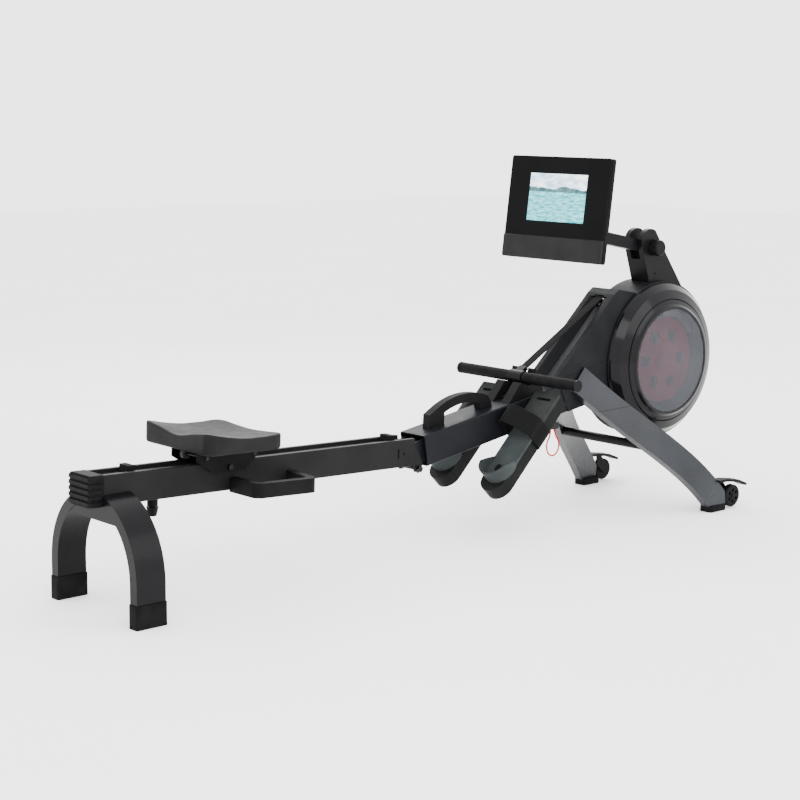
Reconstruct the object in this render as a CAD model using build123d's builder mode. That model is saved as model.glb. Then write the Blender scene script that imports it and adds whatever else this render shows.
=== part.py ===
from build123d import *
import os
from math import cos, radians, sin, tan

os.makedirs("parts", exist_ok=True)

# Folding rowing machine. +X points from the seat to the flywheel, +Y to the
# rower's left, +Z up. The origin is the middle of the footprint, on the floor.

# ---------------------------------------------------------------- dimensions
# Seat rail: an aluminium channel that falls slightly towards the hinge.
RAIL_FALL = 1.7
RAIL_WIDTH = 82.0
RAIL_HEIGHT = 73.0
RAIL_LENGTH = 970.0
RAIL_WALL = 3.5
RAIL_REAR_X = -1072.0
RAIL_REAR_TOP = 334.6

# Main beam: a steel box tube that climbs from the hinge to the flywheel.
BEAM_RISE = 9.3
BEAM_WIDTH = 97.0
BEAM_HEIGHT = 84.5
BEAM_LENGTH = 700.0
BEAM_WALL = 3.0
BEAM_REAR_X = -68.0
BEAM_REAR_MID = 268.3

# Fold hinge between the two.
HINGE_X = -86.0
HINGE_Z = 222.0
HINGE_PIN_R = 6.0
RUNNING_GAP = 0.05

# Rear stand: one tube bent into an arch, standing in two rubber caps.
LEG_THICK = 27.5
LEG_WIDE = 79.0
ARCH_REAR_X = -1079.0
ARCH_HALF = 181.0
ARCH_RISE = 195.0
ARCH_SPRING_Z = 99.0
CAP_HEIGHT = 56.0
CAP_WALL = 3.3
SOLE = 6.0

# Flywheel drum.
DRUM_X = 880.0
DRUM_Z = 436.0
DRUM_R = 233.0
DRUM_HALF = 56.0
DRUM_WALL = 4.0
RING_R = 209.0
WINDOW_R = 157.0

# Shroud that leads the drive strap from the drum to its mouth.
SHROUD_HALF = 51.0
SHELL = 2.3
MOUTH = (648.0, 621.0)

# Foot rests: boards pitched at 45 degrees on both sides of the beam.
FOOT_PITCH = 45.0
FOOT_X = 127.0
FOOT_Z = 190.0
BOARD_Y = 102.0
BOARD_HALF = 42.0

# Row handle in its cradle.
BAR_X = 326.2
BAR_Z = 427.5
BAR_HALF = 222.0
GRIP_R = 16.0

# Seat and carriage, measured along the rail from its rear end.
SEAT_S = 341.0
SEAT_LONG = 232.0
SEAT_WIDE = 272.0
ROLLER_R = 13.7
ROLLER_H = 14.0
ROLLER_SPAN = 143.0

# Console on its mast.
PIVOT_X = 860.0
PIVOT_Z = 769.0
TILT_X = 506.0
TILT_Z = 835.0
CONSOLE_X = 466.0
CONSOLE_Z = 895.0
CONSOLE_LEAN = 7.2
CONSOLE_WIDE = 378.0
CONSOLE_TALL = 292.0
CONSOLE_THICK = 26.0
BAR_TALL = 65.0

# Transport wheels.
WHEEL_X = 988.0
WHEEL_Y = 256.0
WHEEL_Z = 36.5
WHEEL_R = 33.5
WHEEL_WIDE = 20.0

SIDES = (("left", 1), ("right", -1))

# -------------------------------------------------------------------- planes
# Rail plane: x along the rail, y across it, z up from its top face.
rail_dir = Vector(cos(radians(RAIL_FALL)), 0, -sin(radians(RAIL_FALL)))
rail_up = Vector(sin(radians(RAIL_FALL)), 0, cos(radians(RAIL_FALL)))
rail_plane = Plane(origin=(RAIL_REAR_X, 0, RAIL_REAR_TOP), x_dir=rail_dir, z_dir=rail_up)
rail_end = Plane(origin=(RAIL_REAR_X, 0, RAIL_REAR_TOP), x_dir=(0, 1, 0), z_dir=rail_dir)
rail_side = Plane(origin=(RAIL_REAR_X, 0, RAIL_REAR_TOP), x_dir=rail_dir, z_dir=(0, -1, 0))

# Beam planes: the section plane at its rear end, and the plane of its side.
beam_dir = Vector(cos(radians(BEAM_RISE)), 0, sin(radians(BEAM_RISE)))
beam_origin = Vector(BEAM_REAR_X, 0, BEAM_REAR_MID)
beam_end = Plane(origin=beam_origin, x_dir=(0, 1, 0), z_dir=beam_dir)
beam_side = Plane(origin=beam_origin, x_dir=beam_dir, z_dir=(0, -1, 0))

# Foot plane: x up the foot board, y across it, z out of its face.
foot_dir = Vector(cos(radians(FOOT_PITCH)), 0, sin(radians(FOOT_PITCH)))
foot_out = Vector(-sin(radians(FOOT_PITCH)), 0, cos(radians(FOOT_PITCH)))
foot_plane = Plane(origin=(FOOT_X, 0, FOOT_Z), x_dir=foot_dir, z_dir=foot_out)

# Console plane: x to the rower's right, y up the screen, z towards the rower.
console_out = Vector(-cos(radians(CONSOLE_LEAN)), 0, sin(radians(CONSOLE_LEAN)))
console_plane = Plane(origin=(CONSOLE_X, 0, CONSOLE_Z), x_dir=(0, -1, 0), z_dir=console_out)

# Side plane: x forward, y up, and z towards the rower's right.
side_plane = Plane(origin=(0, 0, 0), x_dir=(1, 0, 0), z_dir=(0, -1, 0))


def beam_top(x):
    """Height of the beam's top face at a place along X."""
    half = BEAM_HEIGHT / 2 / cos(radians(BEAM_RISE))
    return BEAM_REAR_MID + half + (x - BEAM_REAR_X) * tan(radians(BEAM_RISE))


def side_at(y):
    """Side plane moved to a place across the machine."""
    return side_plane.offset(-y)


# =============================================================== rail and stand
# Rail: side walls, a bottom, and a floor under the open top channel.
CHANNEL_WIDE = 54.0
CHANNEL_DEEP = 9.0
with BuildPart() as rail:
    with BuildSketch(rail_end):
        with Locations((0, -RAIL_HEIGHT / 2)):
            RectangleRounded(RAIL_WIDTH, RAIL_HEIGHT, 3)
        with Locations((0, -CHANNEL_DEEP / 2)):
            Rectangle(CHANNEL_WIDE, CHANNEL_DEEP, mode=Mode.SUBTRACT)
        with Locations((0, -(CHANNEL_DEEP + RAIL_HEIGHT) / 2)):
            inner_tall = RAIL_HEIGHT - CHANNEL_DEEP - 2 * RAIL_WALL
            Rectangle(RAIL_WIDTH - 2 * RAIL_WALL, inner_tall, mode=Mode.SUBTRACT)
    extrude(amount=RAIL_LENGTH)
    # Saddle for the arch.
    with BuildSketch(Plane.YZ.offset(ARCH_REAR_X)):
        with Locations((0, ARCH_SPRING_Z)):
            Ellipse(ARCH_HALF, ARCH_RISE)
    extrude(amount=LEG_WIDE, mode=Mode.SUBTRACT)
    # Fixing hole and index slot beside the hinge.
    with BuildSketch(rail_side.offset(-RAIL_WIDTH)):
        with Locations((932, -38)):
            Circle(3.2)
        with Locations((912, -36)):
            SlotOverall(26, 6, rotation=90)
    extrude(amount=2 * RAIL_WIDTH, mode=Mode.SUBTRACT)
rail.part.label = "seat_rail"
export_step(rail.part, "parts/seat_rail.step")

# Ribbed end cap that closes the rail's rear end.
CAP_WIDE = 95.0
CAP_TALL = 78.0
with BuildPart() as rail_cap:
    with BuildSketch(rail_end.offset(-36)):
        with Locations((0, -RAIL_HEIGHT / 2)):
            RectangleRounded(CAP_WIDE - 6, CAP_TALL - 2, 8)
    extrude(amount=36)
    for row in range(5):
        with BuildSketch(rail_plane.offset(-RAIL_HEIGHT / 2 - 28.5 + 14.25 * row - 4)):
            with Locations((-20.5, 0)):
                RectangleRounded(41, CAP_WIDE, 9)
        extrude(amount=8)
    # Plug that fills the mouth of the rail, above the arch.
    with BuildSketch(rail_end):
        with Locations((0, -26)):
            Rectangle(RAIL_WIDTH - 2 * RAIL_WALL, 27)
    extrude(amount=14)
    with BuildSketch(Plane.YZ.offset(ARCH_REAR_X)):
        with Locations((0, ARCH_SPRING_Z)):
            Ellipse(ARCH_HALF, ARCH_RISE)
    extrude(amount=LEG_WIDE, mode=Mode.SUBTRACT)
rail_cap.part.label = "rail_end_cap"
export_step(rail_cap.part, "parts/rail_end_cap.step")


def arch_outline(inset):
    """Arch tube seen from the rear, drawn in the current sketch with its walls inset."""
    wide = ARCH_HALF - inset
    rise = ARCH_RISE - inset
    wide_in = ARCH_HALF - LEG_THICK + inset
    rise_in = ARCH_RISE - LEG_THICK + inset
    with Locations((0, ARCH_SPRING_Z)):
        Ellipse(wide, rise)
        Ellipse(wide_in, rise_in, mode=Mode.SUBTRACT)
    with Locations((0, ARCH_SPRING_Z - ARCH_RISE / 2)):
        Rectangle(2.2 * ARCH_HALF, ARCH_RISE, mode=Mode.SUBTRACT)
    middle = ARCH_HALF - LEG_THICK / 2
    with Locations((middle, (ARCH_SPRING_Z + SOLE) / 2), (-middle, (ARCH_SPRING_Z + SOLE) / 2)):
        Rectangle(LEG_THICK - 2 * inset, ARCH_SPRING_Z - SOLE)


# Rear arch: hollow rectangular tube, with two gusset plates welded under the rail.
GUSSET_Z = 227.0
with BuildPart() as rear_arch:
    with BuildSketch(Plane.YZ.offset(ARCH_REAR_X)):
        arch_outline(0)
    extrude(amount=LEG_WIDE)
    with BuildSketch(Plane.YZ.offset(ARCH_REAR_X + 2.5)):
        arch_outline(2.5)
    extrude(amount=LEG_WIDE - 5, mode=Mode.SUBTRACT)
    for gusset_x in (ARCH_REAR_X + 1, ARCH_REAR_X + LEG_WIDE - 6):
        with BuildSketch(Plane.YZ.offset(gusset_x)):
            with Locations((0, ARCH_SPRING_Z)):
                Ellipse(ARCH_HALF - LEG_THICK + 1, ARCH_RISE - LEG_THICK + 1)
            with Locations((0, GUSSET_Z - 200)):
                Rectangle(400, 400, mode=Mode.SUBTRACT)
        extrude(amount=5)
rear_arch.part.label = "rear_arch"
export_step(rear_arch.part, "parts/rear_arch.step")

# Rubber caps on the arch's two feet.
with BuildPart() as rear_caps:
    for side, sign in SIDES:
        foot = Plane(origin=(ARCH_REAR_X + LEG_WIDE / 2, sign * (ARCH_HALF - LEG_THICK / 2), 0))
        with BuildSketch(foot):
            RectangleRounded(LEG_WIDE + 2 * CAP_WALL, LEG_THICK + 2 * CAP_WALL, 6)
        extrude(amount=CAP_HEIGHT)
        with BuildSketch(foot.offset(SOLE)):
            Rectangle(LEG_WIDE, LEG_THICK)
        extrude(amount=CAP_HEIGHT, mode=Mode.SUBTRACT)
rear_caps.part.label = "rear_foot_caps"
export_step(rear_caps.part, "parts/rear_foot_caps.step")

# Grab handle on the rail's right side: a flat D-shaped band.
with BuildPart() as side_handle:
    with BuildSketch(rail_plane.offset(-77)):
        with BuildLine():
            FilletPolyline((360, -41), (360, -148), (538, -162), (556, -41), radius=22)
            Line((556, -41), (360, -41))
        make_face()
        with BuildLine():
            FilletPolyline((380, -41), (380, -130), (521, -141), (536, -41), radius=14)
            Line((536, -41), (380, -41))
        make_face(mode=Mode.SUBTRACT)
    extrude(amount=36)
side_handle.part.label = "rail_side_handle"
export_step(side_handle.part, "parts/rail_side_handle.step")

# Rubber stops in the rail's top channel, met by the carriage's axles.
STOP_TALL = 11.0
with BuildPart() as rail_stops:
    with BuildSketch(rail_plane.offset(-CHANNEL_DEEP)):
        with Locations((91, 0), (906, 0)):
            RectangleRounded(20, 40, 4)
    extrude(amount=CHANNEL_DEEP + STOP_TALL)
rail_stops.part.label = "rail_stops"
export_step(rail_stops.part, "parts/rail_stops.step")

# Hinge plates inside the rail's front end, reaching down to the hinge pin.
pin_s = (Vector(HINGE_X, 0, HINGE_Z) - rail_plane.origin).dot(rail_dir)
pin_h = (Vector(HINGE_X, 0, HINGE_Z) - rail_plane.origin).dot(rail_up)
with BuildPart() as rail_hinge:
    for plate_y in (33.4, -RAIL_WIDTH / 2 + RAIL_WALL):
        with BuildSketch(rail_side.offset(-plate_y - 4)):
            with BuildLine():
                Polyline((890, -18), (972, -18), (pin_s + 13, pin_h + 20), (pin_s + 13, pin_h),
                         (pin_s, pin_h - 13), (pin_s - 13, pin_h), (972, -68), (890, -68), close=True)
            make_face()
            with Locations((pin_s, pin_h)):
                Circle(HINGE_PIN_R, mode=Mode.SUBTRACT)
        extrude(amount=4)
rail_hinge.part.label = "rail_hinge_plates"
export_step(rail_hinge.part, "parts/rail_hinge_plates.step")

# Hinge pin with a head and a nut.
with BuildPart() as hinge_pin:
    with BuildSketch(side_at(46)):
        with Locations((HINGE_X, HINGE_Z)):
            Circle(HINGE_PIN_R)
    extrude(amount=92)
    for head_y in (46, -40):
        with BuildSketch(side_at(head_y)):
            with Locations((HINGE_X, HINGE_Z)):
                RegularPolygon(9.5, 6)
        extrude(amount=6)
hinge_pin.part.label = "hinge_pin"
export_step(hinge_pin.part, "parts/hinge_pin.step")

# Housing of the storage latch, under the rail just ahead of the arch.
LATCH_S = 164.0
LATCH_BORE = 7.0
with BuildPart() as latch_housing:
    with BuildSketch(rail_plane.offset(-RAIL_HEIGHT)):
        with Locations((LATCH_S, 0)):
            RectangleRounded(44, 34, 4)
    extrude(amount=-5)
    with BuildSketch(rail_plane.offset(-RAIL_HEIGHT - 5)):
        with Locations((LATCH_S, 0)):
            Circle(13)
    extrude(amount=-18)
    with BuildSketch(rail_plane.offset(-RAIL_HEIGHT)):
        with Locations((LATCH_S, 0)):
            Circle(LATCH_BORE)
    extrude(amount=-23, mode=Mode.SUBTRACT)
latch_housing.part.label = "latch_housing"
export_step(latch_housing.part, "parts/latch_housing.step")

# Pull knob of the storage latch, with its plunger.
with BuildPart() as latch_knob:
    with BuildSketch(rail_plane.offset(-RAIL_HEIGHT - 1)):
        with Locations((LATCH_S, 0)):
            Circle(LATCH_BORE - RUNNING_GAP)
    extrude(amount=-24)
    with BuildSketch(rail_plane.offset(-RAIL_HEIGHT - 25)):
        with Locations((LATCH_S, 0)):
            Circle(15)
    extrude(amount=-22, taper=12)
latch_knob.part.label = "latch_knob"
export_step(latch_knob.part, "parts/latch_knob.step")

# ===================================================================== seat
rear_roller_s = SEAT_S - 59
front_roller_s = rear_roller_s + ROLLER_SPAN
CHEEK_Y = 49.0
CHEEK_THICK = 4.0

# Carriage: a folded steel channel, its cheeks reaching past the rail's top.
with BuildPart() as carriage:
    with BuildSketch(rail_plane.offset(30)):
        with Locations((SEAT_S + 1.5, 0)):
            Rectangle(179, 2 * (CHEEK_Y + CHEEK_THICK))
    extrude(amount=4)
    for cheek in (CHEEK_Y + CHEEK_THICK, -CHEEK_Y):
        with BuildSketch(rail_side.offset(-cheek)):
            with BuildLine():
                Polyline((253, 34), (432, 34), (432, 8), (398, -24), (305, -24), (253, 8), close=True)
            make_face()
            with Locations((rear_roller_s, ROLLER_H), (front_roller_s, ROLLER_H)):
                Circle(5, mode=Mode.SUBTRACT)
            with Locations((351, -13)):
                Circle(4, mode=Mode.SUBTRACT)
        extrude(amount=CHEEK_THICK)
carriage.part.label = "seat_carriage"
export_step(carriage.part, "parts/seat_carriage.step")

# Roller axles through the cheeks, and the guide bolts with their nylon discs.
with BuildPart() as axles:
    with BuildSketch(rail_side.offset(-56)):
        with Locations((rear_roller_s, ROLLER_H), (front_roller_s, ROLLER_H)):
            Circle(5)
    extrude(amount=112)
    for bolt_y in (57, -42):
        with BuildSketch(rail_side.offset(-bolt_y)):
            with Locations((351, -13)):
                Circle(4)
        extrude(amount=15)
    for disc_y, disc_r in ((49, 9), (-42, 9), (59, 7), (-53, 7)):
        with BuildSketch(rail_side.offset(-disc_y)):
            with Locations((351, -13)):
                Circle(disc_r)
        extrude(amount=7 if disc_r == 9 else 6)
axles.part.label = "carriage_axles"
export_step(axles.part, "parts/carriage_axles.step")

# Two pairs of seat rollers, each pair on its own axle.
for place, roller_s in (("rear", rear_roller_s), ("front", front_roller_s)):
    with BuildPart() as rollers:
        for inner_y in (40, -28):
            with BuildSketch(rail_side.offset(-inner_y)):
                with Locations((roller_s, ROLLER_H)):
                    Circle(ROLLER_R)
                    Circle(5 + RUNNING_GAP, mode=Mode.SUBTRACT)
            extrude(amount=12)
        chamfer(rollers.edges().filter_by(GeomType.CIRCLE).group_by(SortBy.RADIUS)[-1], 1)
    rollers.part.label = f"{place}_seat_rollers"
    export_step(rollers.part, f"parts/{place}_seat_rollers.step")

# Seat pad: a moulded block, dished across its top.
PAD_LIFT = 34.3
PAD_THICK = 44.0
with BuildPart() as seat_pad:
    with BuildSketch(rail_plane.offset(PAD_LIFT)):
        with Locations((SEAT_S, 0)):
            RectangleRounded(SEAT_LONG, SEAT_WIDE, 38)
    extrude(amount=PAD_THICK)
    with BuildSketch(rail_side.offset(-SEAT_WIDE)):
        with BuildLine():
            ThreePointArc((SEAT_S - 130, PAD_LIFT + 48), (SEAT_S, PAD_LIFT + 33),
                          (SEAT_S + 130, PAD_LIFT + 34))
            Polyline((SEAT_S + 130, PAD_LIFT + 34), (SEAT_S + 130, PAD_LIFT + 80),
                     (SEAT_S - 130, PAD_LIFT + 80), (SEAT_S - 130, PAD_LIFT + 48))
        make_face()
    extrude(amount=2 * SEAT_WIDE, mode=Mode.SUBTRACT)
seat_pad.part.label = "seat_pad"
export_step(seat_pad.part, "parts/seat_pad.step")

# ================================================================ main beam
with BuildPart() as main_beam:
    with BuildSketch(beam_end):
        RectangleRounded(BEAM_WIDTH, BEAM_HEIGHT, 5)
        RectangleRounded(BEAM_WIDTH - 2 * BEAM_WALL, BEAM_HEIGHT - 2 * BEAM_WALL, 2, mode=Mode.SUBTRACT)
    extrude(amount=BEAM_LENGTH)
main_beam.part.label = "main_beam"
export_step(main_beam.part, "parts/main_beam.step")

# Hinge plates inside the beam's rear end.
with BuildPart() as beam_hinge:
    for plate_y in (33.0, -28.0):
        with BuildSketch(side_at(plate_y)):
            with BuildLine():
                Polyline((HINGE_X - 11, HINGE_Z), (HINGE_X - 8, HINGE_Z - 9), (HINGE_X + 6, HINGE_Z - 11),
                         (-66, 234), (0, 248), (0, 300), (-66, 300), (HINGE_X - 11, 292), close=True)
            make_face()
            with Locations((HINGE_X, HINGE_Z)):
                Circle(HINGE_PIN_R + RUNNING_GAP, mode=Mode.SUBTRACT)
        extrude(amount=5)
beam_hinge.part.label = "beam_hinge_plates"
export_step(beam_hinge.part, "parts/beam_hinge_plates.step")

# Carry handle: a moulded loop on the beam's top, just ahead of the hinge.
CARRY_HALF = 13.0
with BuildPart() as carry_handle:
    with BuildSketch(side_at(CARRY_HALF)):
        with BuildLine():
            Polyline((-26, 312), (-24, 356), (6, 373))
            ThreePointArc((6, 373), (104, 402), (194, 390))
            Polyline((194, 390), (208, 371), (216, 345), (-26, 312))
        make_face()
        with BuildLine():
            Polyline((30, 322), (31, 358))
            ThreePointArc((31, 358), (100, 377), (164, 374))
            Polyline((164, 374), (172, 346), (30, 322))
        make_face(mode=Mode.SUBTRACT)
    extrude(amount=2 * CARRY_HALF)
    with BuildSketch(beam_side.offset(-BEAM_WIDTH)):
        with Locations((BEAM_LENGTH / 2, 0)):
            Rectangle(BEAM_LENGTH, BEAM_HEIGHT)
    extrude(amount=2 * BEAM_WIDTH, mode=Mode.SUBTRACT)
carry_handle.part.label = "carry_handle"
export_step(carry_handle.part, "parts/carry_handle.step")

# Cradle for the row handle: two cheeks with a slot between them. Its rear lip is
# low enough for the handle to leave along the pull direction.
PULL_RISE = 20.0
BOSS_R = 19.0
SEAT_R = BOSS_R + 0.4
seat_rear = (BAR_X - SEAT_R * sin(radians(PULL_RISE)), BAR_Z - SEAT_R * cos(radians(PULL_RISE)))
seat_front = (BAR_X + SEAT_R * sin(radians(68)), BAR_Z - SEAT_R * cos(radians(68)))
with BuildPart() as cradle:
    for cheek_y in (46, -16):
        with BuildSketch(side_at(cheek_y)):
            with BuildLine():
                Polyline((244, beam_top(244)), (292, 418), (BAR_X - 16, 413.5), seat_rear)
                ThreePointArc(seat_rear, (BAR_X, BAR_Z - SEAT_R), seat_front)
                Polyline(seat_front, (352, 452), (362, 441), (384, beam_top(384)), (244, beam_top(244)))
            make_face()
        extrude(amount=30)
    with BuildSketch(beam_side.offset(-16)):
        with Locations((400, BEAM_HEIGHT / 2 + 4)):
            Rectangle(100, 8)
    extrude(amount=32)
cradle.part.label = "handle_cradle"
export_step(cradle.part, "parts/handle_cradle.step")

# =============================================================== front stand
# Each front leg is the same tube as the rear arch, curving outwards and down.
LEG_PATH = ((521, 44, 409), (555, 58, 378), (618, 106, 314), (721, 176, 220),
            (826, 226, 128), (914, 252, 34), (944, 258, -6))
LEG_END_X = 947.0
LEG_STATIONS = 5


def leg_sections(path):
    """Section planes along a leg's path, with x across the tube's wide side."""
    planes = []
    for step in range(LEG_STATIONS + 1):
        along = path % (step / LEG_STATIONS)
        wide = Vector(-along.Z, 0, along.X).normalized()
        planes.append(Plane(origin=path @ (step / LEG_STATIONS), x_dir=wide, z_dir=along))
    return planes


leg_parts = {}
for side, sign in SIDES:
    leg_path = Spline(*[(x, sign * y, z) for x, y, z in LEG_PATH])
    with BuildPart() as front_leg:
        for section in leg_sections(leg_path):
            with BuildSketch(section):
                Rectangle(LEG_WIDE, LEG_THICK)
        loft()
        for section in leg_sections(leg_path):
            with BuildSketch(section):
                Rectangle(LEG_WIDE - 5, LEG_THICK - 5)
        loft(mode=Mode.SUBTRACT)
        # Cut flush against the beam's side, and square inside the foot pad.
        beam_face = Plane(origin=(0, sign * (BEAM_WIDTH / 2 + 0.1), 0), z_dir=(0, sign, 0))
        split(bisect_by=beam_face, keep=Keep.TOP)
        split(bisect_by=Plane.XY.offset(SOLE), keep=Keep.TOP)
        split(bisect_by=Plane(origin=(LEG_END_X, 0, 0), z_dir=(-1, 0, 0)), keep=Keep.TOP)
    front_leg.part.label = f"front_leg_{side}"
    export_step(front_leg.part, f"parts/front_leg_{side}.step")
    leg_parts[side] = front_leg.part

# Cross tube that ties the two front legs together.
CROSS_X = 698.0
CROSS_Z = 207.0
with BuildPart() as cross_tube:
    with BuildSketch(side_at(168)):
        with Locations((CROSS_X, CROSS_Z)):
            Circle(13)
            Circle(10.5, mode=Mode.SUBTRACT)
    extrude(amount=336)
    for leg in leg_parts.values():
        add(leg, mode=Mode.SUBTRACT)
cross_tube.part.label = "cross_tube"
tube_solid = cross_tube.part.solids().sort_by(SortBy.VOLUME)[-1]
tube_solid.label = "cross_tube"
export_step(tube_solid, "parts/cross_tube.step")

# Rubber pads under the front legs.
PAD_X = 914.0
PAD_LONG = 74.0
PAD_TALL = 20.0
with BuildPart() as front_pads:
    for side, sign in SIDES:
        with BuildSketch(Plane(origin=(PAD_X, sign * 250, 0))):
            RectangleRounded(PAD_LONG, 44, 8)
        extrude(amount=PAD_TALL)
        add(leg_parts[side], mode=Mode.SUBTRACT)
front_pads.part.label = "front_foot_pads"
export_step(front_pads.part, "parts/front_foot_pads.step")

# Wheel brackets: a side plate, a stub axle and a curved fender over each wheel.
AXLE_R = 6.0
BRACKET_Y = 237.0
FENDER_WIDE = 34.0
with BuildPart() as wheel_brackets:
    for side, sign in SIDES:
        for wide, shape in ((4, "plate"), (32, "axle"), (FENDER_WIDE, "fender")):
            with BuildSketch(side_at(BRACKET_Y + wide if sign > 0 else -BRACKET_Y)):
                if shape == "axle":
                    with Locations((WHEEL_X, WHEEL_Z)):
                        Circle(AXLE_R)
                elif shape == "plate":
                    with BuildLine():
                        Polyline((945, 58), (945, 90), (962, 88), (1000, 44), (998, 28), (980, 26),
                                 close=True)
                    make_face()
                else:
                    with BuildLine():
                        Polyline((920, 85.5), (952, 84.5), (1006, 77), (1046, 61), (1049, 68),
                                 (1008, 84), (953, 92), (914, 93), close=True)
                    make_face()
            extrude(amount=wide)
        add(leg_parts[side], mode=Mode.SUBTRACT)
wheel_brackets.part.label = "wheel_brackets"
export_step(wheel_brackets.part, "parts/wheel_brackets.step")

# Transport wheels.
for side, sign in SIDES:
    with BuildPart() as wheel:
        with BuildSketch(Plane(origin=(WHEEL_X, sign * (WHEEL_Y - WHEEL_WIDE / 2), WHEEL_Z),
                               z_dir=(0, sign, 0))):
            Circle(WHEEL_R)
            Circle(AXLE_R + RUNNING_GAP, mode=Mode.SUBTRACT)
        extrude(amount=WHEEL_WIDE)
        rims = wheel.edges().filter_by(GeomType.CIRCLE).group_by(SortBy.RADIUS)[-1]
        fillet(rims, 4)
        # Groove round the middle of the tread.
        with BuildSketch(Plane(origin=(WHEEL_X, sign * (WHEEL_Y - 2), WHEEL_Z), z_dir=(0, sign, 0))):
            Circle(WHEEL_R)
            Circle(WHEEL_R - 4, mode=Mode.SUBTRACT)
        extrude(amount=4, mode=Mode.SUBTRACT)
        # Spoke pockets in the outer face.
        with BuildSketch(Plane(origin=(WHEEL_X, sign * (WHEEL_Y + WHEEL_WIDE / 2), WHEEL_Z),
                               z_dir=(0, sign, 0))):
            with PolarLocations(17.5, 6):
                Circle(5)
        extrude(amount=-6, mode=Mode.SUBTRACT)
    wheel.part.label = f"transport_wheel_{side}"
    export_step(wheel.part, f"parts/transport_wheel_{side}.step")

# ================================================================ foot rests
BOARD_LOW = -45.0
BOARD_HIGH = 296.0
BOARD_BACK = -55.0
BOARD_FACE = -15.0


def board_outline(margin):
    """Foot board seen from its face: round at the heel, square at the toes."""
    half = BOARD_HALF - margin
    low = BOARD_LOW + BOARD_HALF
    with Locations((low, 0)):
        Circle(half)
    with Locations(((low + BOARD_HIGH - margin) / 2, 0)):
        Rectangle(BOARD_HIGH - margin - low, 2 * half)


# Moulded foot boards, hollow from behind, with a guide slot for the heel cup.
with BuildPart() as foot_boards:
    for side, sign in SIDES:
        board_plane = Plane(origin=foot_plane.origin + Vector(0, sign * BOARD_Y, 0),
                            x_dir=foot_dir, z_dir=foot_out)
        with BuildSketch(board_plane.offset(BOARD_BACK)):
            board_outline(0)
        extrude(amount=BOARD_FACE - BOARD_BACK)
        with BuildSketch(board_plane.offset(BOARD_BACK)):
            board_outline(4)
        extrude(amount=BOARD_FACE - BOARD_BACK - 4, mode=Mode.SUBTRACT)
        with BuildSketch(board_plane.offset(BOARD_FACE)):
            with Locations((45, 0)):
                SlotOverall(130, 12)
        extrude(amount=-4, mode=Mode.SUBTRACT)
foot_boards.part.label = "foot_boards"
export_step(foot_boards.part, "parts/foot_boards.step")

for side, sign in SIDES:
    board_plane = Plane(origin=foot_plane.origin + Vector(0, sign * BOARD_Y, 0),
                        x_dir=foot_dir, z_dir=foot_out)
    # Heel cup: floor, a wall that rises round the heel, and an oval hole.
    with BuildPart() as cup:
        with BuildSketch(board_plane.offset(BOARD_FACE + 0.3)):
            with Locations((30, sign * 4)):
                Circle(49)
            with Locations((108, sign * 4)):
                Rectangle(156, 86)
        extrude(amount=6)
        with BuildSketch(board_plane.offset(BOARD_FACE + 6)):
            with Locations((30, sign * 4)):
                Circle(49)
                Circle(43, mode=Mode.SUBTRACT)
            with Locations((88, sign * 4)):
                Rectangle(60, 100, mode=Mode.SUBTRACT)
        extrude(amount=34)
        with BuildSketch(side_at(200)):
            with BuildLine():
                cut = [board_plane.from_local_coords((u, 0, n)) for u, n in
                       ((-25, 26), (20, 24), (62, BOARD_FACE + 8), (90, 40), (0, 60), (-25, 60))]
                Polyline(*[(corner.X, corner.Z) for corner in cut], close=True)
            make_face()
        extrude(amount=400, mode=Mode.SUBTRACT)
        with BuildSketch(board_plane.offset(BOARD_FACE + 0.3)):
            with Locations((28, sign * 4)):
                SlotOverall(40, 24, rotation=90)
        extrude(amount=6, mode=Mode.SUBTRACT)
        # Slide tongue through the board's slot.
        with BuildSketch(board_plane.offset(BOARD_FACE + 1)):
            with Locations((60, 0)):
                SlotOverall(24, 11)
        extrude(amount=-8)
    cup.part.label = f"heel_cup_{side}"
    export_step(cup.part, f"parts/heel_cup_{side}.step")

# Toe plates with a slot for the toes' edge.
TOE_LOW = 192.0
with BuildPart() as toe_plates:
    for side, sign in SIDES:
        toe_plane = Plane(origin=foot_plane.origin + Vector(0, sign * (BOARD_Y + 3), 0),
                          x_dir=foot_dir, z_dir=foot_out)
        with BuildSketch(toe_plane.offset(BOARD_FACE)):
            with Locations(((TOE_LOW + BOARD_HIGH) / 2, 0)):
                RectangleRounded(BOARD_HIGH - TOE_LOW, 88, 6)
            with Locations((270, 0)):
                SlotOverall(54, 9, rotation=90, mode=Mode.SUBTRACT)
        extrude(amount=9)
toe_plates.part.label = "toe_plates"
export_step(toe_plates.part, "parts/toe_plates.step")

# Foot straps: webbing from the board's inner edge, over the foot, to its outer edge.
STRAP_LOW = 137.0
STRAP_WIDE = 62.0
STRAP_THICK = 3.0
with BuildPart() as foot_straps:
    for side, sign in SIDES:
        strap_plane = Plane(origin=Vector(FOOT_X, 0, FOOT_Z) + foot_dir * STRAP_LOW,
                            x_dir=(0, 1, 0), z_dir=foot_dir)
        inner = BOARD_Y - BOARD_HALF
        outer = BOARD_Y + BOARD_HALF
        route = ((inner + 22, -58), (inner - 1.7, -58), (inner - 1.7, 40), (inner + 14, 58),
                 (outer - 30, 36), (outer + 8, 6), (outer + 8, -58), (outer - 20, -58))
        with BuildSketch(strap_plane):
            with BuildLine():
                FilletPolyline(*[(sign * y, n) for y, n in route], radius=2.2)
            trace(line_width=STRAP_THICK)
        extrude(amount=STRAP_WIDE)
foot_straps.part.label = "foot_straps"
export_step(foot_straps.part, "parts/foot_straps.step")

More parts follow.
